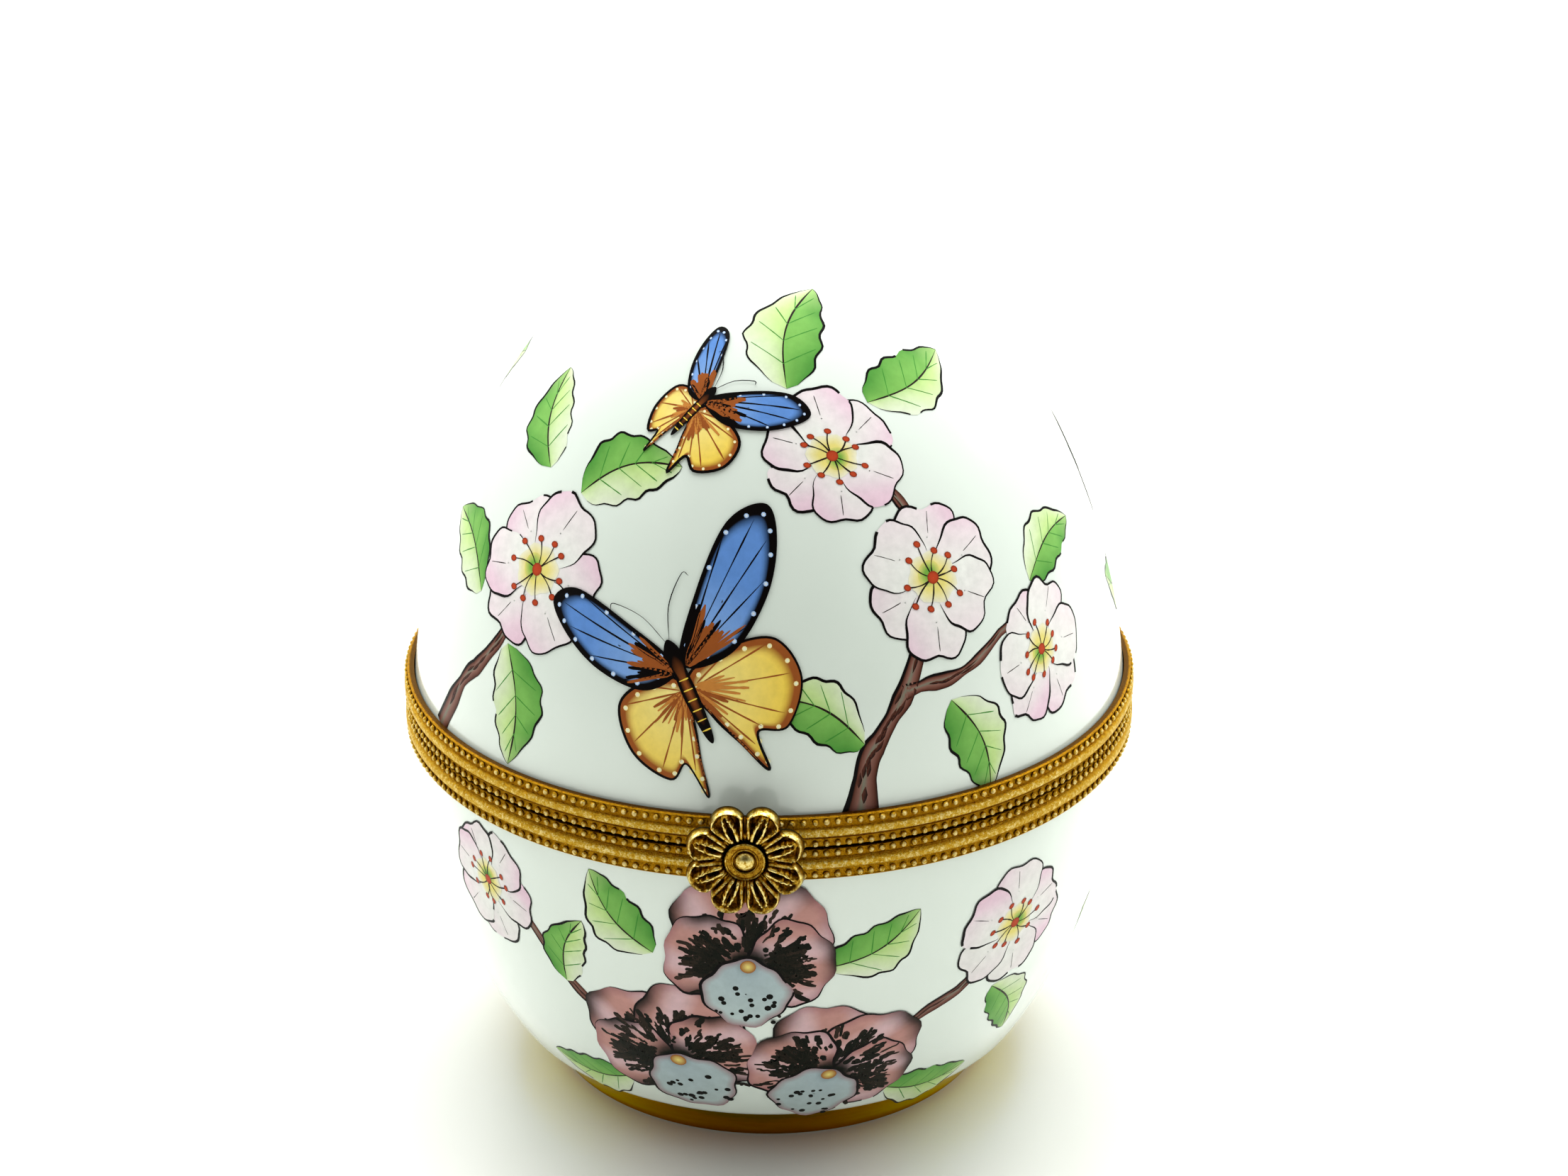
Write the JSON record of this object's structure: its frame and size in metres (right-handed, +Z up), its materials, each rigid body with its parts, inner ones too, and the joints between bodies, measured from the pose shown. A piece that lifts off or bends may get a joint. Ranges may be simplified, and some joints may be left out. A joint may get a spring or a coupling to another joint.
{
  "type": "hinged egg box",
  "caption": "Hinged porcelain egg box on its own gilt foot: bowl and dome lid edged with beaded brass mounts, stop hinge at the back, flower clasp at the front.",
  "frame": {"origin": "on the egg's axis, in the plane of the table under the foot ring", "axes": "+Z up along the egg's axis, clasp towards -Y, hinge at +Y with its pin along X"},
  "size_m": [0.07, 0.0748, 0.0846],
  "materials": {
    "porcelain": "clear glossy glaze over white porcelain, painted in enamels",
    "foot_gilding": "burnished gold band fired on the foot ring",
    "gilt_brass": "stamped and antiqued gilt brass",
    "pin_brass": "drawn wire",
    "cement": "matt",
    "enamel_paint": "overglaze enamel colours"
  },
  "bodies": {
    "base": {"bowl_shell": "porcelain", "lower_mount": "gilt_brass", "lower_bedding": "cement", "closing_collar": "gilt_brass", "catch_peg": "gilt_brass", "hinge_seat_lower": "gilt_brass", "hinge_pin": "pin_brass", "hinge_knuckle_1": "gilt_brass", "hinge_knuckle_3": "gilt_brass", "hinge_knuckle_5": "gilt_brass"},
    "lid": {"lid_shell": "porcelain", "upper_mount": "gilt_brass", "upper_bedding": "cement", "hinge_seat_upper": "gilt_brass", "hinge_knuckle_2": "gilt_brass", "hinge_knuckle_4": "gilt_brass", "clasp_tongue": "gilt_brass", "clasp_flower": "gilt_brass", "clasp_cup": "gilt_brass", "clasp_rivet": "gilt_brass"}
  },
  "joints": [
    {"name": "lid_hinge", "type": "hinge", "parent": "base", "child": "lid", "pos_m": [0, 0.0353, 0.0377], "axis": [-1, 0, 0], "range_deg": [0, 75]}
  ]
}
